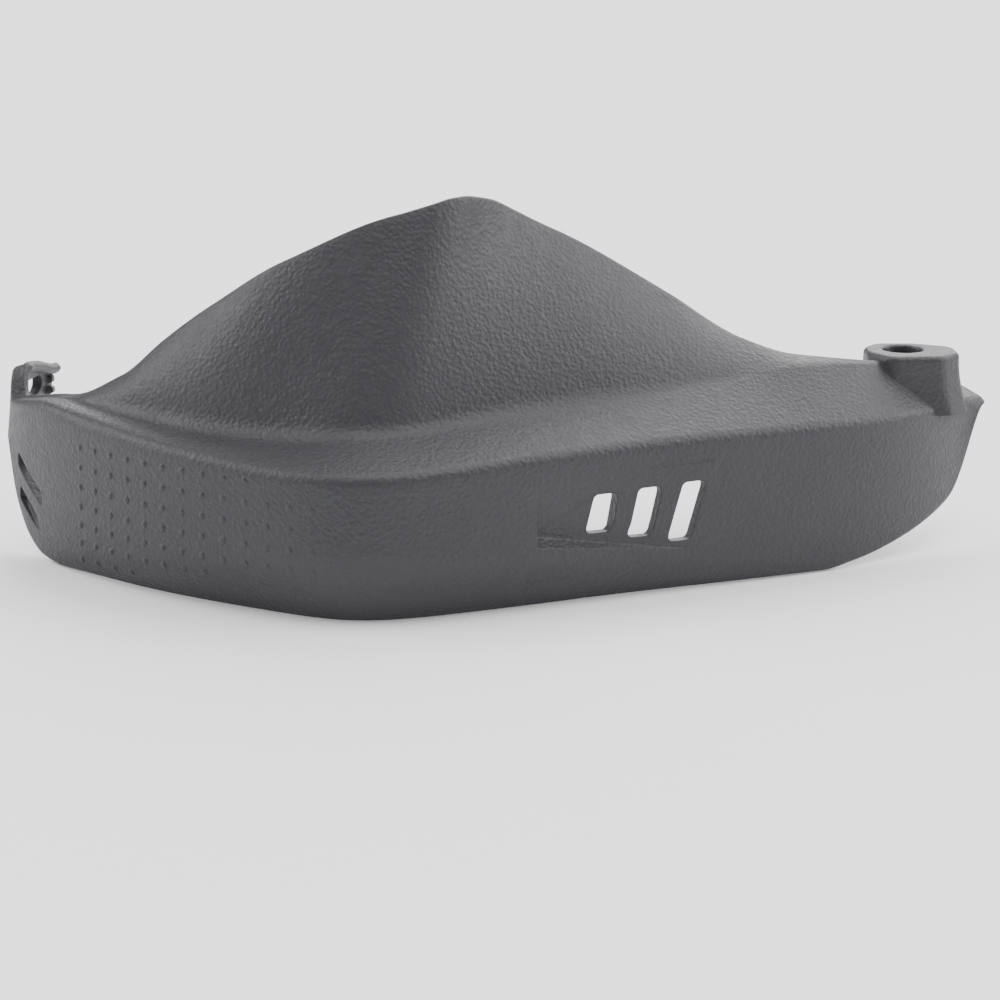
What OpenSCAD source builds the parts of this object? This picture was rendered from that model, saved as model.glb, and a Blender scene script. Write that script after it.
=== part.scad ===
// Motorcycle hand guard, left hand, moulded in one piece
// A band wraps the front of the hand, a sloping shoulder rises from it and a tall shield stands on the shoulder
// X runs along the guard from the bar end to the inner end, Y runs back to the rider and Z is up
// The centre of the inner mount hole, at the top face of its boss, is at 0, 0, 0

/* [Overall size] */
// Length of the guide curve from the bar end to the inner end
guard_length = 306; // [270:1:340]
// Depth of the guide curve from the nose to the bar-end lug
guard_depth = 128; // [105:1:145]
// Height of the band at the nose
band_height = 42; // [34:1:50]
// Height of the shield above the shoulder at its peak
shield_height = 61.5; // [45:0.5:80]
// Wall thickness of the whole moulding
wall = 3; // [2.2:0.1:4]

/* [Shape of the section] */
// How far the chin tucks back under the nose
chin_tuck = 8; // [3:0.5:12]
// How far the shoulder reaches back at its deepest
shoulder_depth = 20; // [14:1:26]
// How far the shoulder rises at its steepest
shoulder_rise = 14.5; // [6:0.5:18]
// How far the shield leans back at its peak
shield_lean = 30; // [15:1:40]
// How far the peak is drawn along the guard
shield_skew = 22; // [0:1:30]
// How far the shield bulges forward of a straight slope
shield_belly = 4; // [0:0.5:8]
// Slope of the band's face, back at its top edge
band_draft = 1.5; // [0.5:0.1:3]
// Rounding of the crease over the chin
crease_round = 14; // [6:1:20]
// Rounding of the band's top edge
edge_round = 4.5; // [3:0.5:8]
// Rounding where the shield meets the shoulder
root_round = 9; // [5:1:14]

/* [Inner mount] */
// Diameter of the inner mount hole
bore_d = 12; // [8:0.5:16]
// Wall of plastic round the inner mount hole
boss_wall = 5.5; // [3.5:0.5:7]
// Height of the inner mount boss
boss_h = 24; // [16:1:32]
// How far the boss stands above the highest part of the shoulder
boss_stand = 0.5; // [0:0.5:4]
// Distance of the hole from the face of the band
boss_inset = 17; // [14:0.5:22]
// Reach of the flat pad from the hole towards the inner end
pad_reach = 11; // [8:0.5:13]
// Height of the pad's wall
pad_h = 18; // [12:0.5:20]

/* [Vent slots] */
// Width of each slot
slot_w = 7.8; // [5:0.2:10]
// Height of the shortest slot
slot_h = 11.5; // [8:0.5:16]
// Height that each slot gains on the one before
slot_h_step = 2.7; // [0:0.1:4]
// Distance from slot to slot
slot_pitch = 14.3; // [12:0.1:18]
// Lean of the shortest slot
slot_lean = 2; // [0:0.1:5]
// Lean that each slot gains on the one before
slot_lean_step = 1.8; // [0:0.1:3]
// Rounding of the slot corners
slot_round = 2.1; // [0.5:0.1:3]

/* [Recess round the slots] */
// Length of the recess
recess_l = 57; // [50:1:66]
// Depth of the recess at its deep end
recess_depth = 4.5; // [2:0.5:6]
// Height of the recess at its deep end
recess_h = 17; // [14:0.5:20]

/* [Bar-end lug] */
// Width of the lug's slot
lug_slot_w = 6; // [5:0.5:8]
// Length of the lug's slot
lug_slot_l = 14; // [10:0.5:16]
// Height of each tooth at the lug's end
tooth_h = 2.6; // [2:0.1:4]
// Reach of each tooth
tooth_reach = 2.4; // [1.5:0.1:4]

/* [Side vent] */
// Width of the side vent
vent_w = 4.6; // [3:0.2:6]
// Length of the side vent
vent_l = 17; // [12:0.5:22]
// Slope of the side vent in degrees
vent_slope = 30; // [20:1:40]

/* [Ribs] */
// Thickness of the inner ribs
rib_t = 2; // [1.5:0.1:3]
// Number of inner ribs under the shoulder
rib_count = 5; // [3:1:8]

/* [Hidden] */
$fn = 48;

// Guide curve of the band's face: shares of the length and of the depth, nose at depth 0
guide = [
  [0.02, 1], [0.004, 0.86], [0, 0.71], [0.052, 0.523], [0.118, 0.36], [0.193, 0.21], [0.278, 0.086],
  [0.366, -0.027], [0.451, 0.031], [0.533, 0.117], [0.614, 0.211], [0.7, 0.301], [0.781, 0.39],
  [0.863, 0.484], [0.931, 0.61], [0.974, 0.75], [1, 0.828]
];
// The tables below give a share of the way along the guide, then a height or a distance as a share
// Bottom edge, of the band height
low_table = [
  [0, 0.905], [0.03, 0.88], [0.06, 0.785], [0.12, 0.74], [0.145, 0.36], [0.165, 0.14], [0.185, 0.035],
  [0.21, 0], [0.78, 0], [0.8, 0.035], [0.9, 0.285], [0.918, 0.345], [1, 0.94]
];
// Crease over the chin, of the band height
crease_table = [
  [0, 0.93], [0.06, 0.81], [0.12, 0.76], [0.145, 0.38], [0.2, 0.07], [0.25, 0.14], [0.32, 0.26],
  [0.39, 0.39], [0.45, 0.435], [0.52, 0.37], [0.6, 0.275], [0.7, 0.145], [0.79, 0.05], [0.9, 0.32],
  [0.918, 0.38], [1, 0.965]
];
// Top edge of the band, of the band height
top_table = [
  [0, 1.13], [0.05, 1.21], [0.085, 1.24], [0.097, 1.17], [0.11, 1.04], [0.14, 1.08], [0.19, 1.155],
  [0.25, 1.12], [0.32, 1.055], [0.4, 1.005], [0.48, 1.015], [0.58, 1.06], [0.68, 1.07], [0.8, 1.05], [1, 1]
];
// Tuck of the bottom edge, of the chin tuck
tuck_table = [[0, 0], [0.18, 0], [0.25, 0.4], [0.45, 1], [0.6, 0.75], [0.78, 0.1], [0.82, 0], [1, 0]];
// Depth of the shoulder, of its greatest depth
depth_table = [
  [0, 0.125], [0.1, 0.15], [0.15, 0.25], [0.3, 0.575], [0.45, 0.9], [0.6, 1], [0.72, 1],
  [0.8, 0.925], [0.86, 0.7], [0.92, 0.6], [1, 0.55]
];
// Rise of the shoulder, of its greatest rise
rise_table = [
  [0, 0.035], [0.2, 0.035], [0.28, 0.14], [0.38, 0.41], [0.45, 0.55], [0.55, 0.55], [0.65, 0.68],
  [0.75, 0.88], [0.8, 1], [0.86, 0.9], [0.92, 0.62], [1, 0.31]
];
// Lean of the shield, of its lean at the peak
lean_table = [
  [0, 0.04], [0.16, 0.05], [0.2, 0.2], [0.3, 0.6], [0.45, 1], [0.6, 0.9], [0.72, 0.67],
  [0.8, 0.27], [0.86, 0.07], [1, 0.07]
];
// Height of the shield over the shoulder, of its height at the peak
rim_table = [
  [0, 0.02], [0.187, 0.02], [0.225, 0.16], [0.25, 0.34], [0.28, 0.535], [0.32, 0.755], [0.39, 0.96],
  [0.46, 1], [0.51, 0.965], [0.6, 0.755], [0.7, 0.38], [0.76, 0.13], [0.8, 0.03], [0.83, 0.02], [1, 0.02]
];
// Draw of the shield along the guard, of the skew at the peak
skew_table = [[0, 0], [0.16, 0], [0.45, 1], [0.8, 0], [1, 0]];
// Forward bulge of the shield, of the belly
belly_table = [[0, 0], [0.16, 0], [0.3, 1], [0.45, 0.75], [0.6, 1], [0.8, 0], [1, 0]];

// Columns along the guide
columns = 78;
// Rows of points in each stretch of the section
flange_rows = 2;
crease_rows = 3;
face_rows = 3;
edge_rows = 4;
shelf_rows = 2;
root_rows = 4;
shield_rows = 5;
// Half the stretch of guide over which the section's direction is averaged
turn_reach = 0.09;
// Overlap that makes one solid of two
weld = 0.6;

// Smooth reading of a table
function seat(t, u, i = 0) = (i >= len(t) - 2 || u <= t[i + 1][0]) ? i : seat(t, u, i + 1);
function rate(t, i) = (t[i + 1][1] - t[i][1]) / (t[i + 1][0] - t[i][0]);
function mean_rate(a, b) = a * b <= 0 ? 0 : 2 * a * b / (a + b);
function knot_rate(t, k) = (k <= 0 || k >= len(t) - 1) ? 0 : mean_rate(rate(t, k - 1), rate(t, k));
function blend(t, i, h, f) =
  (2 * pow(f, 3) - 3 * f * f + 1) * t[i][1]
  + (pow(f, 3) - 2 * f * f + f) * h * knot_rate(t, i)
  + (3 * f * f - 2 * pow(f, 3)) * t[i + 1][1]
  + (pow(f, 3) - f * f) * h * knot_rate(t, i + 1);
function law(t, u) =
  let (i = seat(t, u), h = t[i + 1][0] - t[i][0])
  blend(t, i, h, (u - t[i][0]) / h);

// Smooth guide curve in millimetres
function knot(k) =
  k < 0 ? 2 * guide[0] - guide[1]
  : k > len(guide) - 1 ? 2 * guide[len(guide) - 1] - guide[len(guide) - 2]
  : guide[k];
function spline(i, f) =
  (pow(1 - f, 3) * knot(i - 1) + (3 * pow(f, 3) - 6 * f * f + 4) * knot(i)
  + (3 * f * f + 3 * f + 1 - 3 * pow(f, 3)) * knot(i + 1) + pow(f, 3) * knot(i + 2)) / 6;
function share(u) =
  let (s = u * (len(guide) - 1), i = min(floor(s), len(guide) - 2))
  spline(i, s - i);
function at(u) = let (p = share(u)) [p[0] * guard_length, p[1] * guard_depth];
function inside(u) = min(1, max(0, u));
function unit(v) = v / norm(v);
function step(u) = unit(at(inside(u + 0.01)) - at(inside(u - 0.01)));
function along(u) = unit(
  step(inside(u - turn_reach)) + step(inside(u - turn_reach / 2)) + step(u)
  + step(inside(u + turn_reach / 2)) + step(inside(u + turn_reach)));
function inward(t) = [-t[1], t[0]];
function heading(t) = atan2(t[1], t[0]);

// Section at a place on the guide, as pairs of distance inward and height
function bend_trim(a, b, c, r) =
  let (p = unit(a - b), q = unit(c - b), turn = 180 - acos(p * q))
  min(r * tan(turn / 2), 0.45 * norm(a - b), 0.45 * norm(c - b));
function bend(a, b, c, r, k) =
  let (trim = bend_trim(a, b, c, r), s = b + unit(a - b) * trim, e = b + unit(c - b) * trim)
  [for (j = [0:k]) let (f = j / k) s * (1 - f) * (1 - f) + b * 2 * f * (1 - f) + e * f * f];
function run(a, b, k) = [for (j = [0:k - 1]) a + (b - a) * j / k];
function arc_rows(a, b, c, k) =
  [for (j = [0:k]) let (f = j / k) a * (1 - f) * (1 - f) + b * 2 * f * (1 - f) + c * f * f];
function less_last(p) = [for (j = [0:len(p) - 2]) p[j]];
function low_at(u) = law(low_table, u) * band_height;
function top_at(u) = law(top_table, u) * band_height;
function ledge_at(u) = law(depth_table, u) * shoulder_depth;
function back_at(u) = top_at(u) + law(rise_table, u) * shoulder_rise;
function rim_at(u) = law(rim_table, u) * shield_height;
function chin_at(u) = [law(tuck_table, u) * chin_tuck, low_at(u)];
function crease_at(u) = [0, max(law(crease_table, u) * band_height, low_at(u) + 1)];
function edge_at(u) = [band_draft, top_at(u)];
function root_at(u) = [band_draft + ledge_at(u), back_at(u)];
function peak_at(u) = root_at(u) + [law(lean_table, u) * shield_lean, rim_at(u)];
function belly_at(u) = (root_at(u) + peak_at(u)) / 2 - [law(belly_table, u) * shield_belly, 0];
function section(u) =
  let (
    lower = bend(chin_at(u), crease_at(u), edge_at(u), crease_round, crease_rows),
    upper = bend(crease_at(u), edge_at(u), root_at(u), edge_round, edge_rows),
    root = bend(edge_at(u), root_at(u), belly_at(u), root_round, root_rows)
  )
  concat(
    run(chin_at(u), lower[0], flange_rows), less_last(lower),
    run(lower[crease_rows], upper[0], face_rows), less_last(upper),
    run(upper[edge_rows], root[0], shelf_rows), less_last(root),
    arc_rows(root[root_rows], belly_at(u), peak_at(u), shield_rows));
function draw_at(u, z) =
  let (h = max(rim_at(u), 0.01))
  law(skew_table, u) * shield_skew * max(0, z - back_at(u)) / h * min(1, h / 10);
function column(u) =
  let (p = at(u), t = along(u), n = inward(t))
  [for (s = section(u)) let (q = p + n * s[0] + t * draw_at(u, s[1])) [q[0], q[1], s[1]]];

// Outer skin and the same skin moved in by the wall
skin = [for (i = [0:columns]) column(i / columns)];
rows = len(skin[0]) - 1;
function clip(k, top) = min(top, max(0, k));
function across(i, j) = skin[clip(i + 1, columns)][j] - skin[clip(i - 1, columns)][j];
function upward(i, j) = skin[i][clip(j + 1, rows)] - skin[i][clip(j - 1, rows)];
function out(i, j) = unit(cross(across(i, j), upward(i, j)));
lining = [for (i = [0:columns]) [for (j = [0:rows]) skin[i][j] - out(i, j) * wall]];
points = concat(
  [for (i = [0:columns]) for (j = [0:rows]) skin[i][j]],
  [for (i = [0:columns]) for (j = [0:rows]) lining[i][j]]);
side = (columns + 1) * (rows + 1);
function o(i, j) = i * (rows + 1) + j;
function n(i, j) = side + o(i, j);
function skin_faces(i, j) = [[o(i, j), o(i, j + 1), o(i + 1, j + 1)], [o(i, j), o(i + 1, j + 1), o(i + 1, j)]];
function lining_faces(i, j) = [[n(i, j), n(i + 1, j + 1), n(i, j + 1)], [n(i, j), n(i + 1, j), n(i + 1, j + 1)]];
function bottom_faces(i) = [[o(i, 0), o(i + 1, 0), n(i + 1, 0)], [o(i, 0), n(i + 1, 0), n(i, 0)]];
function top_faces(i) = [[o(i + 1, rows), o(i, rows), n(i, rows)], [o(i + 1, rows), n(i, rows), n(i + 1, rows)]];
function first_faces(j) = [[o(0, j + 1), o(0, j), n(0, j)], [o(0, j + 1), n(0, j), n(0, j + 1)]];
function last_faces(j) = [
  [o(columns, j), o(columns, j + 1), n(columns, j + 1)],
  [o(columns, j), n(columns, j + 1), n(columns, j)]
];
faces = concat(
  [for (i = [0:columns - 1]) for (j = [0:rows - 1]) for (f = skin_faces(i, j)) f],
  [for (i = [0:columns - 1]) for (j = [0:rows - 1]) for (f = lining_faces(i, j)) f],
  [for (i = [0:columns - 1]) for (f = bottom_faces(i)) f],
  [for (i = [0:columns - 1]) for (f = top_faces(i)) f],
  [for (j = [0:rows - 1]) for (f = first_faces(j)) f],
  [for (j = [0:rows - 1]) for (f = last_faces(j)) f]);

// Places that the features share
boss_u = 0.9;
boss_xy = at(boss_u) + inward(along(boss_u)) * boss_inset;
boss_top = back_at(0.8) + boss_stand;
boss_r = bore_d / 2 + boss_wall;
recess_u = 0.566;
vent_u = 0.168;
lug_u = 0.052;
tooth_u = 0.006;
vent_z = 23.5;
lug_slot_z = 43.6;
// Turn of the recess against the face, in degrees
recess_turn = 1.5;
// Bottom of the first slot, and how far each slot starts below the one before
slot_foot = 20.4;
slot_foot_step = 2.4;
// Distance from the recess's left end to the first slot
slot_first = 15.8;
// Margin of the recess below the slots, fall of its bottom edge and slope of its sill
recess_margin = 2;
recess_fall = 0.13;
sill_slope = 0.6;
recess_foot = slot_foot - recess_margin;
// Distance inward at which the recess starts under its top edge
recess_start = 0.9;
// Margin of the tray round the recess, and its front inside the wall
tray_margin = wall * 0.7;
tray_front = wall * 0.65;
// Share of the shoulder's depth that a rib reaches, and the stretch of guide that the ribs stand on
rib_share = 0.7;
first_rib_u = 0.27;
rib_stretch = 0.5;
// Gap from tooth to tooth as a share of a tooth, and the first tooth's height over the edge
tooth_pitch = 1.35;
first_tooth = 1.2;
foot_spread = 3;
foot_drop = 1.5;
// Corners of the pad seen from above, with the hole at 0, 0, and of its wider foot
pad_front = -boss_r * 1.2;
pad_end = pad_reach + boss_r / 2;
pad_corners = [
  [-boss_r, -boss_r * 0.4], [-boss_r * 0.5, pad_front], [boss_r * 0.9, pad_front * 0.9],
  [pad_end, -boss_r * 0.5], [pad_end, boss_r * 0.4], [boss_r * 0.4, boss_r * 0.9],
  [-boss_r * 0.6, boss_r * 0.9], [-boss_r, boss_r * 0.4]
];
foot_corners = [
  for (c = pad_corners) [c[0] + sign(c[0]) * foot_spread, c[1] + min(0, sign(c[1])) * foot_drop]
];
// Height of the pad's upright edge over its sloping sides
pad_edge = 2.5;
pad_round = 6;
pad_lip = 1.5;

module moulding() {
  polyhedron(points = points, faces = faces, convexity = 10);
}

// Puts its children on the band's face: X along the face, Y inward, Z up from the bottom plane
module on_face(u, turn = 0) {
  translate([at(u)[0], at(u)[1], 0])
    rotate([0, 0, heading(along(u)) + turn])
      children();
}

// Stands a flat outline up, so that its Y becomes the height, between two distances inward
module upright(near, far) {
  translate([0, far, 0])
    rotate([90, 0, 0])
      linear_extrude(height = far - near)
        children();
}

// Corner points of an outline, each corner rounded
function turn_of(p, k, r) =
  let (m = len(p), a = p[(k + m - 1) % m], c = p[(k + 1) % m])
  bend(a, p[k], c, r, 4);
function eased(p, r) = [for (k = [0:len(p) - 1]) for (q = turn_of(p, k, r)) q];

// Inner mount boss under a flat pad whose wall stands on the shoulder
module boss() {
  translate([boss_xy[0], boss_xy[1], boss_top - boss_h])
    cylinder(r = boss_r - pad_lip, h = boss_h - wall);
}

module pad() {
  translate([boss_xy[0], boss_xy[1], boss_top])
    hull() {
      translate([0, 0, -pad_edge])
        linear_extrude(height = pad_edge)
          polygon(eased(pad_corners, pad_round));
      translate([0, 0, -pad_h])
        linear_extrude(height = weld)
          polygon(eased(foot_corners, pad_round));
    }
}

module bore() {
  translate([boss_xy[0], boss_xy[1], boss_top - boss_h - 1])
    cylinder(d = bore_d, h = boss_h + 2);
}

// Section of the recess: a floor that leans in towards its foot, and a sill that slopes up inward
module recess_section(x, depth) {
  foot = recess_foot - recess_fall * x;
  top = recess_foot + recess_h;
  translate([x, 0, 0])
    rotate([90, 0, 90])
      linear_extrude(height = 0.01)
        polygon([
          [-wall, foot], [0, foot], [depth, foot + sill_slope * depth], [recess_start, top], [-wall, top]
        ]);
}

// Deep at one end and running out on the face at the other
module recess_cut() {
  hull() {
    recess_section(0, recess_depth);
    recess_section(recess_l, recess_start);
  }
}

// Back of the recess, a wall behind its floor
module recess_tray() {
  translate([0, 0, recess_foot - tray_margin - recess_fall * recess_l])
    linear_extrude(height = recess_h + 2 * tray_margin + recess_fall * recess_l)
      polygon([
        [-tray_margin, tray_front], [recess_l, tray_front], [recess_l, wall],
        [-tray_margin, recess_depth + wall]
      ]);
}

module slot_cuts() {
  for (k = [0:2]) {
    h = slot_h + k * slot_h_step;
    lean = slot_lean + k * slot_lean_step;
    foot = slot_foot - k * slot_foot_step;
    left = slot_first + k * slot_pitch - k * slot_lean_step;
    upright(-wall, recess_depth + 3 * wall)
      polygon(eased([
        [left, foot], [left + slot_w, foot], [left + slot_w + lean, foot + h], [left + lean, foot + h]
      ], slot_round));
  }
}

// Slot of the bar-end lug: it runs along the lug and takes the bar-end bolt across it
module lug_slot() {
  mid = at(lug_u);
  reach = (lug_slot_l - lug_slot_w) / 2;
  translate([mid[0], mid[1], lug_slot_z])
    rotate([0, 90, 0])
      linear_extrude(height = 6 * wall, center = true)
        polygon(concat(slot_end(reach, 0), slot_end(-reach, 180)));
}
function slot_end(y, turn) = [
  for (k = [0:12])
    let (a = turn + k * 15)
    [lug_slot_w / 2 * cos(a), y + lug_slot_w / 2 * sin(a)]
];

// Three teeth on the inside of the lug's free end
module lug_teeth() {
  for (k = [0:2]) {
    on_face(tooth_u)
      translate([0, wall - weld, low_at(0) + first_tooth + k * tooth_h * tooth_pitch])
        tooth();
  }
}

module tooth() {
  linear_extrude(height = tooth_h)
    polygon([[0, 0], [wall, 0], [wall * 0.75, tooth_reach + weld], [wall * 0.1, tooth_reach + weld]]);
}

// Slanted vent in the side of the arm, with a shallow scoop under it
module vent_cut() {
  on_face(vent_u)
    translate([0, 0, vent_z])
      upright(-wall, 2 * wall)
        polygon(eased(slant(vent_l, vent_w), slot_round));
}

module scoop_cut() {
  on_face(vent_u)
    translate([0, 0, vent_z - vent_w * 2])
      upright(-wall, wall * 0.45)
        polygon(eased(slant(vent_l * 0.8, vent_w), slot_round));
}

function slant(l, w) =
  let (s = tan(vent_slope) * l / 2)
  [[-l / 2, s - w / 2], [l / 2, -s - w / 2], [l / 2, -s + w / 2], [-l / 2, s + w / 2]];

// Ribs that tie the shoulder to the band, and two that tie the boss to them
module ribs() {
  for (k = [0:rib_count - 1]) {
    u = first_rib_u + k * rib_stretch / (rib_count - 1);
    rib(u, ledge_at(u) * rib_share);
  }
}

module rib(u, reach) {
  on_face(u)
    rotate([90, 0, 90])
      linear_extrude(height = rib_t, center = true)
        polygon([
          [wall * 0.6, top_at(u) - reach * 1.1],
          [wall + band_draft, top_at(u) - wall * 0.5],
          [reach + band_draft, top_at(u) - wall * 0.6 + (back_at(u) - top_at(u)) * reach / ledge_at(u)],
          [reach * 0.55, top_at(u) - wall * 2]
        ]);
}

module boss_webs() {
  on_face(boss_u)
    translate([-rib_t / 2, wall * 0.6, boss_top - boss_h])
      cube([rib_t, boss_inset - boss_r + weld, boss_h - pad_h + weld]);
}

// Moulding and all that was moulded with it, less the openings that are not round
module skin_with_features() {
  difference() {
    union() {
      moulding();
      boss();
      pad();
      boss_webs();
      ribs();
      lug_teeth();
      on_face(recess_u, recess_turn)
        recess_tray();
    }
    on_face(recess_u, recess_turn)
      recess_cut();
    on_face(recess_u, recess_turn)
      slot_cuts();
    lug_slot();
    vent_cut();
    scoop_cut();
  }
}

// The free-form skin is taken as one mesh at its own size, and the round hole is then cut from it
module shell() {
  color([0.24, 0.24, 0.26])
    translate([-boss_xy[0], -boss_xy[1], -boss_top])
      difference() {
        resize([0, 0, 0])
          skin_with_features();
        bore();
      }
}

shell();
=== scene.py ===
# Motorcycle hand guard: the visual model, its materials, the studio and the camera
import math
import bmesh
import bpy
import numpy as np
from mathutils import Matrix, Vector


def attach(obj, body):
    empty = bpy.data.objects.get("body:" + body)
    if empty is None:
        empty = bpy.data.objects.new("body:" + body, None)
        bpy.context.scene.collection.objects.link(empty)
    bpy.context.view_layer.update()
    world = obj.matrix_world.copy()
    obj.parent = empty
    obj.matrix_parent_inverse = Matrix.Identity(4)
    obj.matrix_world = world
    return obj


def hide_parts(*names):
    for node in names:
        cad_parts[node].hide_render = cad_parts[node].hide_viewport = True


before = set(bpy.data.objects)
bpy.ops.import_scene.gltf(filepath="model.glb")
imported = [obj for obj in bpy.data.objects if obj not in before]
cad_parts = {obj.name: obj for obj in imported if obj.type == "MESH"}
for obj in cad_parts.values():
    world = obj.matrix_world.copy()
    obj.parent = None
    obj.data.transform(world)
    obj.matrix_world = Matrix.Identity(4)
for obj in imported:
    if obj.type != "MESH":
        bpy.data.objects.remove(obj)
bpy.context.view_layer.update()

MM = 0.001

# Sizes in millimetres, as in the part
GUARD_LENGTH, GUARD_DEPTH = 306.0, 128.0
BAND_HEIGHT, SHIELD_HEIGHT, WALL = 42.0, 61.5, 3.0
CHIN_TUCK, SHOULDER_DEPTH, SHOULDER_RISE = 8.0, 20.0, 14.5
SHIELD_LEAN, SHIELD_SKEW, SHIELD_BELLY = 30.0, 22.0, 4.0
BAND_DRAFT, CREASE_ROUND, EDGE_ROUND, ROOT_ROUND = 1.5, 14.0, 4.5, 9.0
TURN_REACH = 0.09

# Guide curve of the band's face: shares of the length and of the depth
GUIDE = np.array([
    (0.02, 1), (0.004, 0.86), (0, 0.71), (0.052, 0.523), (0.118, 0.36), (0.193, 0.21), (0.278, 0.086),
    (0.366, -0.027), (0.451, 0.031), (0.533, 0.117), (0.614, 0.211), (0.7, 0.301), (0.781, 0.39),
    (0.863, 0.484), (0.931, 0.61), (0.974, 0.75), (1, 0.828)])

# Each law: share of the way along the guide, then a share of the size it belongs to
LAWS = {
    "low": [(0, .905), (.03, .88), (.06, .785), (.12, .74), (.145, .36), (.165, .14), (.185, .035),
            (.21, 0), (.78, 0), (.8, .035), (.9, .285), (.918, .345), (1, .94)],
    "crease": [(0, .93), (.06, .81), (.12, .76), (.145, .38), (.2, .07), (.25, .14), (.32, .26),
               (.39, .39), (.45, .435), (.52, .37), (.6, .275), (.7, .145), (.79, .05), (.9, .32),
               (.918, .38), (1, .965)],
    "top": [(0, 1.13), (.05, 1.21), (.085, 1.24), (.097, 1.17), (.11, 1.04), (.14, 1.08), (.19, 1.155),
            (.25, 1.12), (.32, 1.055), (.4, 1.005), (.48, 1.015), (.58, 1.06), (.68, 1.07), (.8, 1.05), (1, 1)],
    "tuck": [(0, 0), (.18, 0), (.25, .4), (.45, 1), (.6, .75), (.78, .1), (.82, 0), (1, 0)],
    "depth": [(0, .125), (.1, .15), (.15, .25), (.3, .575), (.45, .9), (.6, 1), (.72, 1),
              (.8, .925), (.86, .7), (.92, .6), (1, .55)],
    "rise": [(0, .035), (.2, .035), (.28, .14), (.38, .41), (.45, .55), (.55, .55), (.65, .68),
             (.75, .88), (.8, 1), (.86, .9), (.92, .62), (1, .31)],
    "lean": [(0, .04), (.16, .05), (.2, .2), (.3, .6), (.45, 1), (.6, .9), (.72, .67),
             (.8, .27), (.86, .07), (1, .07)],
    "rim": [(0, .02), (.187, .02), (.225, .16), (.25, .34), (.28, .535), (.32, .755), (.39, .96),
            (.46, 1), (.51, .965), (.6, .755), (.7, .38), (.76, .13), (.8, .03), (.83, .02), (1, .02)],
    "skew": [(0, 0), (.16, 0), (.45, 1), (.8, 0), (1, 0)],
    "belly": [(0, 0), (.16, 0), (.3, 1), (.45, .75), (.6, 1), (.8, 0), (1, 0)],
}


def law(name, u):
    """Smooth reading of a law, with no overshoot between its points."""
    pairs = LAWS[name]
    last = len(pairs) - 2
    i = 0
    while i < last and u > pairs[i + 1][0]:
        i += 1

    def rate(k):
        return (pairs[k + 1][1] - pairs[k][1]) / (pairs[k + 1][0] - pairs[k][0])

    def knot_rate(k):
        if k <= 0 or k > last:
            return 0.0
        a, b = rate(k - 1), rate(k)
        return 0.0 if a * b <= 0 else 2 * a * b / (a + b)

    h = pairs[i + 1][0] - pairs[i][0]
    f = (u - pairs[i][0]) / h
    return ((2 * f**3 - 3 * f * f + 1) * pairs[i][1] + (f**3 - 2 * f * f + f) * h * knot_rate(i)
            + (3 * f * f - 2 * f**3) * pairs[i + 1][1] + (f**3 - f * f) * h * knot_rate(i + 1))


def guide_point(u):
    last = len(GUIDE) - 1

    def knot(k):
        if k < 0:
            return 2 * GUIDE[0] - GUIDE[1]
        return 2 * GUIDE[last] - GUIDE[last - 1] if k > last else GUIDE[k]

    s = u * last
    i = min(int(s), last - 1)
    f = s - i
    p = ((1 - f)**3 * knot(i - 1) + (3 * f**3 - 6 * f * f + 4) * knot(i)
         + (3 * f * f + 3 * f + 1 - 3 * f**3) * knot(i + 1) + f**3 * knot(i + 2)) / 6
    return p * (GUARD_LENGTH, GUARD_DEPTH)


def clip(u):
    return min(1.0, max(0.0, u))


def unit(v):
    return v / np.linalg.norm(v)


def along(u):
    """Direction of the band, averaged over a stretch so that the leaning shield never folds over itself."""
    total = np.zeros(2)
    for k in (-1, -0.5, 0, 0.5, 1):
        v = clip(u + k * TURN_REACH)
        total += unit(guide_point(clip(v + 0.01)) - guide_point(clip(v - 0.01)))
    return unit(total)


def inward(t):
    return np.array((-t[1], t[0]))


def bend(a, b, c, radius, steps):
    """Rounds the corner b between a and c."""
    p, q = unit(a - b), unit(c - b)
    turn = math.pi - math.acos(float(np.clip(p @ q, -1, 1)))
    trim = min(radius * math.tan(turn / 2), 0.45 * np.linalg.norm(a - b), 0.45 * np.linalg.norm(c - b))
    s, e = b + p * trim, b + q * trim
    return [s * (1 - f)**2 + b * 2 * f * (1 - f) + e * f * f for f in np.linspace(0, 1, steps + 1)]


def run(a, b, steps):
    return [a + (b - a) * j / steps for j in range(steps)]


def back_height(u):
    return law("top", u) * BAND_HEIGHT + law("rise", u) * SHOULDER_RISE


def section(u):
    """Outline of the outer skin: distance inward and height."""
    low = law("low", u) * BAND_HEIGHT
    chin = np.array((law("tuck", u) * CHIN_TUCK, low))
    crease = np.array((0.0, max(law("crease", u) * BAND_HEIGHT, low + 1)))
    edge = np.array((BAND_DRAFT, law("top", u) * BAND_HEIGHT))
    root = np.array((BAND_DRAFT + law("depth", u) * SHOULDER_DEPTH, back_height(u)))
    peak = root + (law("lean", u) * SHIELD_LEAN, law("rim", u) * SHIELD_HEIGHT)
    belly = (root + peak) / 2 - (law("belly", u) * SHIELD_BELLY, 0)
    lower = bend(chin, crease, edge, CREASE_ROUND, 8)
    upper = bend(crease, edge, root, EDGE_ROUND, 8)
    hollow = bend(edge, root, belly, ROOT_ROUND, 8)
    points = run(chin, lower[0], 5) + lower[:-1] + run(lower[-1], upper[0], 12) + upper[:-1]
    points += run(upper[-1], hollow[0], 6) + hollow[:-1]
    s = hollow[-1]
    points += [s * (1 - f)**2 + belly * 2 * f * (1 - f) + peak * f * f for f in np.linspace(0, 1, 25)]
    return points


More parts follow.
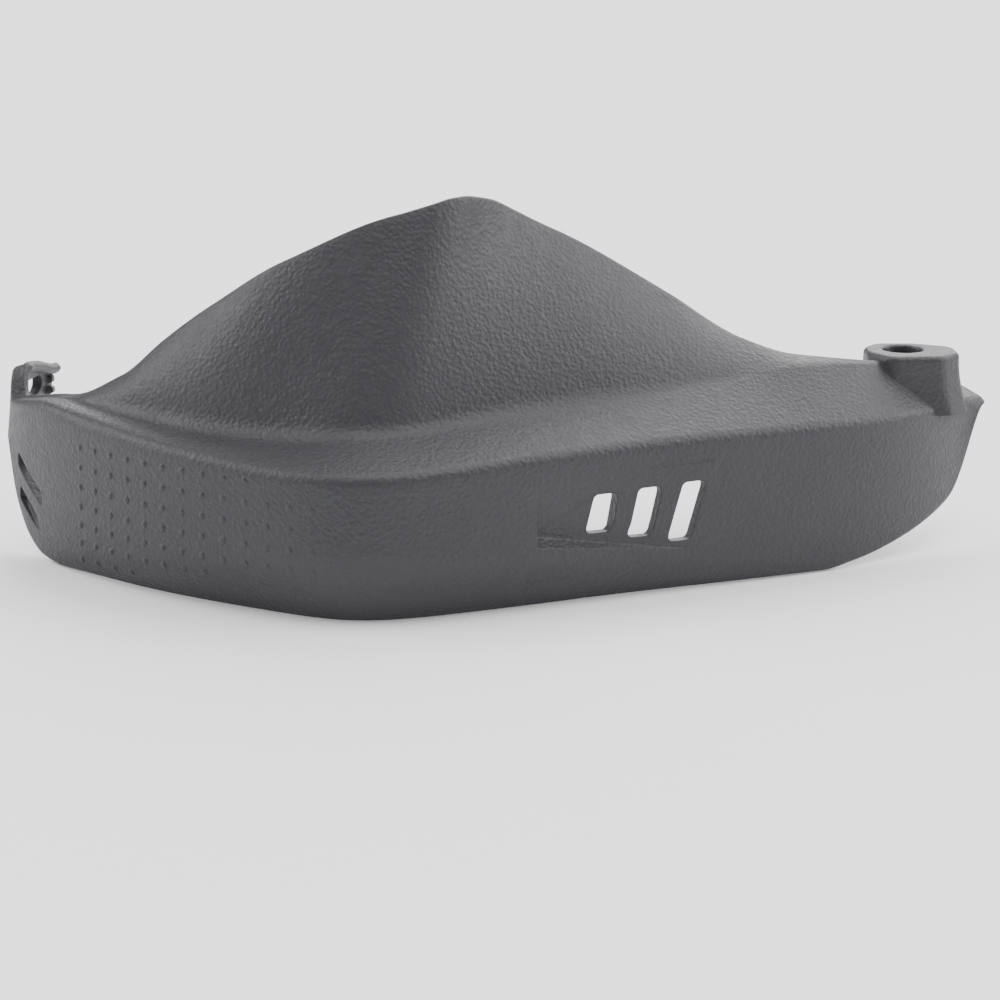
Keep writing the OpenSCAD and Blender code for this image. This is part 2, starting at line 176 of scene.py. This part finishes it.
def column(u):
    p, t = guide_point(u), along(u)
    n = inward(t)
    height = max(law("rim", u) * SHIELD_HEIGHT, 0.01)
    out = []
    for inset, z in section(u):
        draw = law("skew", u) * SHIELD_SKEW * max(0.0, z - back_height(u)) / height * min(1.0, height / 10)
        out.append((*(p + n * inset + t * draw), z))
    return np.array(out)


# Where the boss, the recess, the vents and the lug's slot sit
BOSS_U, BOSS_INSET, BOSS_STAND, BOSS_H = 0.9, 17.0, 0.5, 24.0
BORE_D, BOSS_WALL, PAD_REACH, PAD_H, PAD_LIP, PAD_ROUND = 12.0, 5.5, 11.0, 18.0, 1.5, 6.0
PAD_EDGE, PAD_EASE, FOOT_SPREAD, FOOT_DROP, FOOT_HOLLOW = 2.5, 1.8, 3.0, 1.5, 1.7
BOSS_R = BORE_D / 2 + BOSS_WALL
BOSS_XY = guide_point(BOSS_U) + inward(along(BOSS_U)) * BOSS_INSET
BOSS_TOP = back_height(0.8) + BOSS_STAND
ORIGIN = np.array((*BOSS_XY, BOSS_TOP))
RECESS_U, RECESS_TURN, RECESS_L, RECESS_DEPTH, RECESS_H = 0.566, 1.5, 57.0, 4.5, 17.0
SLOT_FOOT, RECESS_MARGIN, RECESS_FALL, SILL_SLOPE, RECESS_START = 20.4, 2.0, 0.13, 0.6, 0.9
SLOT_W, SLOT_H, SLOT_GAIN, SLOT_PITCH, SLOT_FIRST = 7.8, 11.5, 2.7, 14.3, 15.8
SLOT_LEAN, SLOT_LEAN_GAIN, SLOT_DROP, SLOT_ROUND = 2.0, 1.8, 2.4, 2.1
LUG_U, LUG_SLOT_Z, LUG_SLOT_W, LUG_SLOT_L = 0.052, 43.6, 6.0, 14.0
TOOTH_U, TOOTH_H, TOOTH_REACH, TOOTH_PITCH, FIRST_TOOTH = 0.006, 2.6, 2.4, 1.35, 1.2
VENT_U, VENT_Z, VENT_W, VENT_L, VENT_SLOPE = 0.168, 23.5, 4.6, 17.0, 30.0
RIB_T, RIB_COUNT, RIB_SHARE, FIRST_RIB_U, RIB_STRETCH = 2.0, 5, 0.7, 0.27, 0.5
WELD = 0.6


def mesh_object(name, points, faces):
    """Mesh from points in the part's own millimetres, moved to the frame's origin."""
    mesh = bpy.data.meshes.new(name)
    mesh.from_pydata([tuple((np.asarray(p) - ORIGIN) * MM) for p in points], [], faces)
    mesh.validate()
    piece = bpy.data.objects.new(name, mesh)
    bpy.context.scene.collection.objects.link(piece)
    return piece


def recalc(piece):
    """Turns every face outward."""
    work = bmesh.new()
    work.from_mesh(piece.data)
    bmesh.ops.recalc_face_normals(work, faces=work.faces)
    work.to_mesh(piece.data)
    work.free()
    return piece


# Length of wall that the rounding of its edge takes up, and the columns that the wall is swept through
EDGE_EASE = 1.1
WALL_COLUMNS = 240


def moulded_wall(columns=WALL_COLUMNS):
    """The swept wall: outer skin, inner skin and rounded edges in one closed mesh."""
    skin = np.array([column(i / columns) for i in range(columns + 1)])
    across = np.gradient(skin, axis=0)
    upward = np.gradient(skin, axis=1)
    normal = np.cross(across, upward)
    normal /= np.linalg.norm(normal, axis=2, keepdims=True)
    lining = skin - normal * WALL
    rows = skin.shape[1]
    loops = []
    for outer, inner in zip(skin, lining):
        outer_side, inner_side = pulled_back(outer), pulled_back(inner)
        rim = edge_round(outer_side[-1], outer[-1], inner[-1], inner_side[-1])
        foot = edge_round(inner_side[0], inner[0], outer[0], outer_side[0])
        loops.append(list(outer_side) + rim + list(inner_side[::-1]) + foot)
    count, arc = len(loops[0]), len(rim)
    points = [p for loop in loops for p in loop]
    faces = []
    for i in range(columns):
        for j in range(count):
            k = (j + 1) % count
            faces.append((i * count + j, (i + 1) * count + j, (i + 1) * count + k, i * count + k))
    for base in (0, columns * count):
        def inner_row(j):
            return base + rows + arc + rows - 1 - j
        faces += [(base + j, base + j + 1, inner_row(j + 1), inner_row(j)) for j in range(rows - 1)]
        faces.append(tuple(base + rows - 1 + j for j in range(arc + 2)))
        faces.append(tuple([base + count - arc - 1 + j for j in range(arc + 1)] + [base]))
    return recalc(mesh_object("moulded_shell", points, faces))


def pulled_back(line):
    """The same line with both ends drawn in by the rounding of the wall's edges."""
    length = np.concatenate(([0], np.cumsum(np.linalg.norm(np.diff(line, axis=0), axis=1))))
    at = EDGE_EASE + length * (length[-1] - 2 * EDGE_EASE) / length[-1]
    return np.array([np.interp(at, length, line[:, k]) for k in range(3)]).T


def edge_round(start, first, second, end):
    """Rounded edge of the wall, over its two corners."""
    near, far = first + (second - first) * 0.37, first + (second - first) * 0.63
    points = []
    for a, b, c in ((start, first, near), (far, second, end)):
        points += [a * (1 - f)**2 + b * 2 * f * (1 - f) + c * f * f for f in (0.0, 0.3, 0.6, 1.0)]
    return points[1:-1]


def on_face(points, u, turn=0.0):
    """Places points given along the band's face, inward from it and up."""
    t = along(u)
    a = math.atan2(t[1], t[0]) + math.radians(turn)
    t = np.array((math.cos(a), math.sin(a)))
    p = guide_point(u)
    return [(*(p + t * x + inward(t) * y), z) for x, y, z in points]


def loft(name, rings):
    """Closed solid through rings of points, flat at both ends."""
    count = len(rings[0])
    points = [p for ring in rings for p in ring]
    faces = [tuple(range(count)), tuple(range(len(points) - count, len(points)))]
    for r in range(len(rings) - 1):
        for j in range(count):
            k = (j + 1) % count
            faces.append((r * count + j, r * count + k, (r + 1) * count + k, (r + 1) * count + j))
    return recalc(mesh_object(name, points, faces))


def prism(name, outline, near, far, u, turn=0.0):
    """Solid under an outline seen from the front, between two distances inward."""
    return loft(name, [on_face([(x, y, z) for x, z in outline], u, turn) for y in (near, far)])


def eased(corners, radius, steps=6):
    """Outline with every corner rounded."""
    corners = [np.array(c, dtype=float) for c in corners]
    points = []
    for k, corner in enumerate(corners):
        points += bend(corners[k - 1], corner, corners[(k + 1) % len(corners)], radius, steps)
    return [tuple(p) for p in points]


def ring(radius, z, steps=72):
    """Circle of points round the bore's axis."""
    x, y = BOSS_XY
    turns = [2 * math.pi * k / steps for k in range(steps)]
    return [(x + radius * math.cos(a), y + radius * math.sin(a), z) for a in turns]


def grown(outline, by):
    """Outline moved outward, or inward where by is negative."""
    points = np.array(outline)
    chord = np.roll(points, -1, axis=0) - np.roll(points, 1, axis=0)
    normal = np.stack((chord[:, 1], -chord[:, 0]), axis=1)
    return points + normal / np.linalg.norm(normal, axis=1, keepdims=True) * by


def soften(piece, width, steps=3):
    """Rounds every edge of a cutter, so that the hollow it leaves has filleted corners."""
    work = bmesh.new()
    work.from_mesh(piece.data)
    bmesh.ops.bevel(work, geom=work.edges[:], offset=width * MM, segments=steps, profile=0.5, affect="EDGES")
    bmesh.ops.recalc_face_normals(work, faces=work.faces)
    work.to_mesh(piece.data)
    work.free()
    return piece


def pad_with_fillet():
    """Flat pad over the boss: rounded top edge, and a hollow foot that spreads into the shoulder."""
    front, end = -BOSS_R * 1.2, PAD_REACH + BOSS_R / 2
    corners = [(-BOSS_R, -BOSS_R * 0.4), (-BOSS_R * 0.5, front), (BOSS_R * 0.9, front * 0.9),
               (end, -BOSS_R * 0.5), (end, BOSS_R * 0.4), (BOSS_R * 0.4, BOSS_R * 0.9),
               (-BOSS_R * 0.6, BOSS_R * 0.9), (-BOSS_R, BOSS_R * 0.4)]
    foot = [(x + math.copysign(FOOT_SPREAD, x), y - (FOOT_DROP if y < 0 else 0)) for x, y in corners]
    top_line = np.array(eased(corners, PAD_ROUND, 8))
    foot_line = np.array(eased(foot, PAD_ROUND, 8))
    rings = []
    for share in np.linspace(1, 0, 9):
        spread = share**FOOT_HOLLOW
        outline = top_line * (1 - spread) + foot_line * spread
        height = BOSS_TOP - PAD_EDGE - share * (PAD_H - PAD_EDGE)
        rings.append([(*(BOSS_XY + p), height) for p in outline])
    for a in np.linspace(0.15, math.pi / 2, 8):
        line = grown(top_line, -PAD_EASE * (1 - math.cos(a)))
        height = BOSS_TOP - PAD_EASE + PAD_EASE * math.sin(a)
        rings.append([(*(BOSS_XY + p), height) for p in line])
    return loft("pad", rings)


def boss_post():
    """Round post under the pad."""
    radius = BOSS_R - PAD_LIP
    return loft("boss_post", [ring(radius, BOSS_TOP - BOSS_H), ring(radius, BOSS_TOP - WALL)])


def boss_web():
    """Web from the band to the boss."""
    half = RIB_T / 2
    outline = [(-half, BOSS_TOP - BOSS_H), (half, BOSS_TOP - BOSS_H),
               (half, BOSS_TOP - PAD_H + WELD), (-half, BOSS_TOP - PAD_H + WELD)]
    return prism("boss_web", outline, WALL * 0.6, WALL * 0.6 + BOSS_INSET - BOSS_R + WELD, BOSS_U)


def rib(u):
    """Rib in the corner between the band and the shoulder."""
    ledge = law("depth", u) * SHOULDER_DEPTH
    reach, top, back = ledge * RIB_SHARE, law("top", u) * BAND_HEIGHT, back_height(u)
    outline = [(WALL * 0.6, top - reach * 1.1), (WALL + BAND_DRAFT, top - WALL * 0.5),
               (reach + BAND_DRAFT, top - WALL * 0.6 + (back - top) * reach / ledge), (reach * 0.55, top - WALL * 2)]
    return loft("rib", [on_face([(x, y, z) for y, z in outline], u) for x in (-RIB_T / 2, RIB_T / 2)])


def tooth(k):
    """One of the teeth at the lug's free end, with eased top and bottom."""
    low = law("low", 0) * BAND_HEIGHT + FIRST_TOOTH + k * TOOTH_H * TOOTH_PITCH
    outline = [(0, 0), (WALL, 0), (WALL * 0.75, TOOTH_REACH + WELD), (WALL * 0.1, TOOTH_REACH + WELD)]
    levels = [(0.0, 0.7), (0.5, 1.0), (TOOTH_H - 0.5, 1.0), (TOOTH_H, 0.7)]
    rings = []
    for z, share in levels:
        rings.append(on_face([(x, WALL - WELD + y * share, low + z) for x, y in outline], TOOTH_U))
    return loft("tooth", rings)


def recess_tray():
    """Back of the recess, a wall behind its floor."""
    grow, foot = WALL * 0.7, SLOT_FOOT - RECESS_MARGIN
    low, top = foot - grow - RECESS_FALL * RECESS_L, foot + RECESS_H + grow
    rings = []
    for x, back in ((-grow, RECESS_DEPTH + WALL), (RECESS_L, WALL)):
        corners = [(x, WALL * 0.65, low), (x, back, low), (x, back, top), (x, WALL * 0.65, top)]
        rings.append(on_face(corners, RECESS_U, RECESS_TURN))
    return loft("recess_tray", rings)


def recess_hollow():
    """Its floor leans in towards its foot, its sill slopes up inward, and it runs out at one end."""
    rings = []
    for x, depth in ((0.0, RECESS_DEPTH), (RECESS_L, RECESS_START)):
        foot, top = SLOT_FOOT - RECESS_MARGIN - RECESS_FALL * x, SLOT_FOOT - RECESS_MARGIN + RECESS_H
        corners = [(x, -WALL, foot), (x, 0, foot), (x, depth, foot + SILL_SLOPE * depth),
                   (x, RECESS_START, top), (x, -WALL, top)]
        rings.append(on_face(corners, RECESS_U, RECESS_TURN))
    return loft("recess_hollow", rings)


def slot_cutter(k):
    """Cuts one slanted vent slot."""
    h, lean = SLOT_H + k * SLOT_GAIN, SLOT_LEAN + k * SLOT_LEAN_GAIN
    foot, left = SLOT_FOOT - k * SLOT_DROP, SLOT_FIRST + k * SLOT_PITCH - k * SLOT_LEAN_GAIN
    outline = eased([(left, foot), (left + SLOT_W, foot), (left + SLOT_W + lean, foot + h), (left + lean, foot + h)],
                    SLOT_ROUND)
    return prism("slot_cutter", outline, -WALL, RECESS_DEPTH + 3 * WALL, RECESS_U, RECESS_TURN)


def slant(length, width, up):
    """Outline of a slanted opening with rounded corners."""
    s = math.tan(math.radians(VENT_SLOPE)) * length / 2
    corners = [(-length / 2, s - width / 2), (length / 2, -s - width / 2),
               (length / 2, -s + width / 2), (-length / 2, s + width / 2)]
    return [(x, z + up) for x, z in eased(corners, SLOT_ROUND)]


def lug_slot_cutter():
    """Cuts the lug's slot, straight sides between two round ends."""
    mid, reach, r = guide_point(LUG_U), (LUG_SLOT_L - LUG_SLOT_W) / 2, LUG_SLOT_W / 2
    outline = []
    steps = 16
    for y, first in ((reach, 0), (-reach, 180)):
        for k in range(steps + 1):
            a = math.radians(first + k * 180 / steps)
            outline.append((y + r * math.sin(a), r * math.cos(a)))
    rings = [[(mid[0] + x, mid[1] + y, LUG_SLOT_Z + z) for y, z in outline] for x in (-3 * WALL, 3 * WALL)]
    return loft("lug_slot_cutter", rings)


def bore_cutter():
    """Round hole with a small rounded lip at its mouth."""
    r = BORE_D / 2
    levels = [(BOSS_TOP - BOSS_H - 1, r), (BOSS_TOP - 0.9, r), (BOSS_TOP - 0.5, r + 0.12),
              (BOSS_TOP - 0.2, r + 0.4), (BOSS_TOP + 0.05, r + 0.9), (BOSS_TOP + 1, r + 0.95)]
    return loft("bore_cutter", [ring(radius, z) for z, radius in levels])


def cut_and_join(piece, others, operation):
    """Joins solids to the piece, or cuts them from it, and takes them away."""
    for other in others:
        step = piece.modifiers.new("step", "BOOLEAN")
        step.operation, step.solver, step.object = operation, "MANIFOLD", other
        seen = bpy.context.evaluated_depsgraph_get()
        made = bpy.data.meshes.new_from_object(piece.evaluated_get(seen))
        piece.modifiers.clear()
        piece.data = made
        bpy.data.objects.remove(other)


# Rows of the section that lie on the band's face, and the step that its direction is read over
FACE_FROM, FACE_TO, FACE_STEP = 5, 26, 0.004


def face_point(u, z):
    """Point on the band's face, its two directions in the face and the one outward."""
    def at_height(v):
        line = column(v)[FACE_FROM:FACE_TO]
        return np.array([np.interp(z, line[:, 2], line[:, k]) for k in range(2)] + [z])

    here = at_height(u)
    across = unit(at_height(u + FACE_STEP) - at_height(u - FACE_STEP))
    line = column(u)
    k = min(max(int(np.argmin(np.abs(line[:FACE_TO, 2] - z))), 1), FACE_TO - 2)
    up = unit(line[k + 1] - line[k - 1])
    return here, across, up, unit(np.cross(across, up))


# Size of a dot, where the columns and rows of dots are, and how they fade along the band
DOT_R, DOT_H, DOT_SIDES = 1.0, 0.4, 14
DOT_FIRST_U, DOT_STEP_U, DOT_COLUMNS = 0.233, 0.0153, 13
DOT_ROWS = (5.0, 10.2, 15.4, 21.0, 26.8, 32.7, 38.6)
FADE_FROM_U, FADE_STRETCH, FADE_SHARE = 0.3, 0.12, 0.6
CLEAR_OF_FOOT, CLEAR_OF_EDGE = 3, 4
# Profile of a dot from its sunk foot up: share of its radius and share of its height
DOT_PROFILE = ((1.0, -0.5), (1.0, 0.1), (0.93, 0.4), (0.75, 0.72), (0.45, 0.93))


def dot_fits(u, z):
    """Whether a dot's middle is on the face, clear of its edges."""
    foot = max(law("low", u) * BAND_HEIGHT + CLEAR_OF_FOOT, law("crease", u) * BAND_HEIGHT - CLEAR_OF_FOOT)
    return foot <= z <= law("top", u) * BAND_HEIGHT - CLEAR_OF_EDGE


def raised_dot(work, u, z, height):
    """Small dome on the face, closed underneath."""
    here, across, up, outward = face_point(u, z)
    rings = []
    for share, rise in DOT_PROFILE:
        line = []
        for k in range(DOT_SIDES):
            a = 2 * math.pi * k / DOT_SIDES
            spoke = (across * math.cos(a) + up * math.sin(a)) * DOT_R * share
            line.append(work.verts.new((here + spoke + outward * height * rise - ORIGIN) * MM))
        rings.append(line)
    crown = work.verts.new((here + outward * height - ORIGIN) * MM)
    for low, high in zip(rings, rings[1:]):
        for k in range(DOT_SIDES):
            n = (k + 1) % DOT_SIDES
            work.faces.new((low[k], low[n], high[n], high[k]))
    for k in range(DOT_SIDES):
        work.faces.new((rings[-1][k], rings[-1][(k + 1) % DOT_SIDES], crown))
    work.faces.new(list(reversed(rings[0])))


def raised_dots(piece):
    """Field of small raised dots on the outer arm, moulded with the band."""
    work = bmesh.new()
    work.from_mesh(piece.data)
    for step in range(DOT_COLUMNS):
        u = DOT_FIRST_U + step * DOT_STEP_U
        fade = 1 - FADE_SHARE * max(0.0, (u - FADE_FROM_U) / FADE_STRETCH)
        for z in DOT_ROWS:
            if dot_fits(u, z):
                raised_dot(work, u, z, DOT_H * fade)
    work.to_mesh(piece.data)
    work.free()


def colour(hex_value):
    """Linear colour of an sRGB hex value."""
    parts = [int(hex_value[k:k + 2], 16) / 255 for k in (1, 3, 5)]
    return (*[c / 12.92 if c <= 0.04045 else ((c + 0.055) / 1.055)**2.4 for c in parts], 1.0)


def add(tree, kind, sockets=None, **settings):
    """Adds a node with its settings, and sets or links its sockets."""
    made = tree.nodes.new(kind)
    for key, value in settings.items():
        setattr(made, key, value)
    for key, value in (sockets or {}).items():
        if isinstance(value, bpy.types.NodeSocket):
            tree.links.new(value, made.inputs[key])
        else:
            made.inputs[key].default_value = value
    return made


def new_tree(name):
    """New material and its empty node tree."""
    material = bpy.data.materials.new(name)
    material.use_nodes = True
    material.node_tree.nodes.clear()
    return material, material.node_tree


# Widths of the grain's cells, of its fine relief, of specks and of cloudiness in the plastic
HIDE_MM, GRAIN_MM, DUST_MM, FLOW_MM = 1.12, 0.8, 3.5, 38.0
SHADE_LOW, SHADE_HIGH = "#2b2a2e", "#323136"
EDGE_SOFT_MM, HIDE_DEPTH_MM, GRAIN_DEPTH_MM = 0.6, 0.35, 0.2


def grained_polypropylene():
    """Dark grey polypropylene, injection moulded against an etched tool.

    The etching leaves a fine leathery grain that breaks the gloss into a soft satin. The grain is drawn
    about twice as coarse as the real one, so that it shows. The melt's flow leaves wide, faint
    cloudiness, and handling leaves slightly smoother patches.
    """
    material, tree = new_tree("grained_polypropylene")
    place = add(tree, "ShaderNodeTexCoord").outputs["Object"]
    flow = add(tree, "ShaderNodeTexNoise", {"Vector": place, "Scale": 1 / (FLOW_MM * MM), "Detail": 4.0,
                                             "Roughness": 0.55, "Distortion": 0.6})
    speck = add(tree, "ShaderNodeTexNoise", {"Vector": place, "Scale": 1 / (DUST_MM * MM), "Detail": 6.0,
                                              "Roughness": 0.7})
    cells = add(tree, "ShaderNodeTexVoronoi", {"Vector": place, "Scale": 1 / (HIDE_MM * MM),
                                                "Randomness": 1.0}, feature="SMOOTH_F1")
    fine = add(tree, "ShaderNodeTexNoise", {"Vector": place, "Scale": 1 / (GRAIN_MM * MM), "Detail": 3.0,
                                             "Roughness": 0.6})
    # The colour sockets of the mix node are its seventh and eighth
    cloudy = add(tree, "ShaderNodeMix", {0: flow.outputs["Fac"], 6: colour(SHADE_LOW), 7: colour(SHADE_HIGH)},
                 data_type="RGBA")
    dusted = add(tree, "ShaderNodeMix", {0: 0.12, 6: cloudy.outputs[2], 7: speck.outputs["Color"]},
                 data_type="RGBA", blend_type="OVERLAY")
    gloss = add(tree, "ShaderNodeMapRange", {"Value": speck.outputs["Fac"], "From Min": 0.3, "From Max": 0.7,
                                              "To Min": 0.42, "To Max": 0.55})
    edges = add(tree, "ShaderNodeBevel", {"Radius": EDGE_SOFT_MM * MM}, samples=6)
    hide = add(tree, "ShaderNodeBump", {"Height": cells.outputs["Distance"], "Strength": 0.6,
                                         "Distance": HIDE_DEPTH_MM * MM, "Normal": edges.outputs["Normal"]})
    skin = add(tree, "ShaderNodeBump", {"Height": fine.outputs["Fac"], "Strength": 0.5,
                                         "Distance": GRAIN_DEPTH_MM * MM, "Normal": hide.outputs["Normal"]})
    plastic = add(tree, "ShaderNodeBsdfPrincipled", {"Base Color": dusted.outputs[2], "Metallic": 0.0,
                                                      "IOR": 1.49, "Roughness": gloss.outputs["Result"],
                                                      "Normal": skin.outputs["Normal"]})
    add(tree, "ShaderNodeOutputMaterial", {"Surface": plastic.outputs["BSDF"]})
    return material


# Shade of the paper, and the width and depth of its fibre
PAPER, FIBRE_MM, FIBRE_DEPTH_MM = "#f6f6f7", 2.5, 0.05


def matt_paper():
    """Matt white studio paper, rolled: even, with only a trace of fibre."""
    material, tree = new_tree("matt_paper")
    place = add(tree, "ShaderNodeTexCoord").outputs["Object"]
    fibre = add(tree, "ShaderNodeTexNoise", {"Vector": place, "Scale": 1 / (FIBRE_MM * MM), "Detail": 3.0})
    relief = add(tree, "ShaderNodeBump", {"Height": fibre.outputs["Fac"], "Strength": 0.02,
                                           "Distance": FIBRE_DEPTH_MM * MM})
    paper = add(tree, "ShaderNodeBsdfPrincipled", {"Base Color": colour(PAPER), "Roughness": 0.95,
                                                    "Specular IOR Level": 0.1, "Normal": relief.outputs["Normal"]})
    add(tree, "ShaderNodeOutputMaterial", {"Surface": paper.outputs["BSDF"]})
    return material


# The moulding, what is joined to it and what is cut from it, in that order
SHARP_ANGLE = 32
shell = moulded_wall()
cut_and_join(shell, [pad_with_fillet(), boss_post(), boss_web(), recess_tray()], "UNION")
cut_and_join(shell, [rib(FIRST_RIB_U + k * RIB_STRETCH / (RIB_COUNT - 1)) for k in range(RIB_COUNT)], "UNION")
cut_and_join(shell, [tooth(k) for k in range(3)], "UNION")
cut_and_join(shell, [soften(recess_hollow(), 0.5)] + [slot_cutter(k) for k in range(3)], "DIFFERENCE")
vent = prism("vent_cutter", slant(VENT_L, VENT_W, VENT_Z), -WALL, 2 * WALL, VENT_U)
scoop = prism("scoop_cutter", slant(VENT_L * 0.8, VENT_W, VENT_Z - VENT_W * 2), -WALL, WALL * 0.45, VENT_U)
cut_and_join(shell, [lug_slot_cutter(), bore_cutter(), vent, soften(scoop, 0.5)], "DIFFERENCE")
raised_dots(shell)
shell.data.shade_smooth()
shell.data.set_sharp_from_angle(angle=math.radians(SHARP_ANGLE))
shell.data.materials.clear()
shell.data.materials.append(grained_polypropylene())
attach(shell, "root")
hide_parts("shell")

# Floor under the guard, wide enough to fill the view
floor_corners = [(-6000, -4000, 0), (6000, -4000, 0), (6000, 12000, 0), (-6000, 12000, 0)]
floor = mesh_object("floor", floor_corners, [(0, 1, 2, 3)])
floor.data.materials.append(matt_paper())


LIGHT_AIM = Vector((-0.12, 0, 0))


def soft_light(name, energy, place, spread):
    """Broad, even light from a place in metres, with soft shadows as from a large diffuser."""
    lamp = bpy.data.lights.new(name, "SUN")
    lamp.energy = energy
    lamp.angle = math.radians(spread)
    holder = bpy.data.objects.new(name, lamp)
    holder.location = place
    holder.rotation_euler = (LIGHT_AIM - Vector(place)).to_track_quat("-Z", "Y").to_euler()
    bpy.context.scene.collection.objects.link(holder)


soft_light("left_box", 2.1, (-2.6, 0.3, 1.5), 45)
soft_light("right_box", 2.5, (2.4, 0.1, 1.5), 45)
soft_light("back_box", 3.6, (0.5, 2.2, 1.7), 60)
soft_light("top_box", 2.3, (0.1, -0.5, 2.6), 60)

world = bpy.data.worlds.new("studio")
world.use_nodes = True
world.node_tree.nodes.clear()
sky = add(world.node_tree, "ShaderNodeBackground", {"Color": colour("#ececee"), "Strength": 0.38})
add(world.node_tree, "ShaderNodeOutputWorld", {"Surface": sky.outputs["Background"]})
bpy.context.scene.world = world

# Camera at the photograph's angle
CAMERA_PITCH = 15.0
CAMERA_LENS = 80.57
CAMERA_PLACE = np.array((154.0, -579.56, 192.27))
eye = bpy.data.objects.new("camera", bpy.data.cameras.new("camera"))
eye.data.sensor_width = 36
eye.data.lens = CAMERA_LENS
eye.data.clip_start, eye.data.clip_end = 0.01, 50
eye.location = Vector((CAMERA_PLACE - ORIGIN) * MM)
eye.rotation_euler = (math.radians(90 - CAMERA_PITCH), 0, 0)
bpy.context.scene.collection.objects.link(eye)
bpy.context.scene.camera = eye
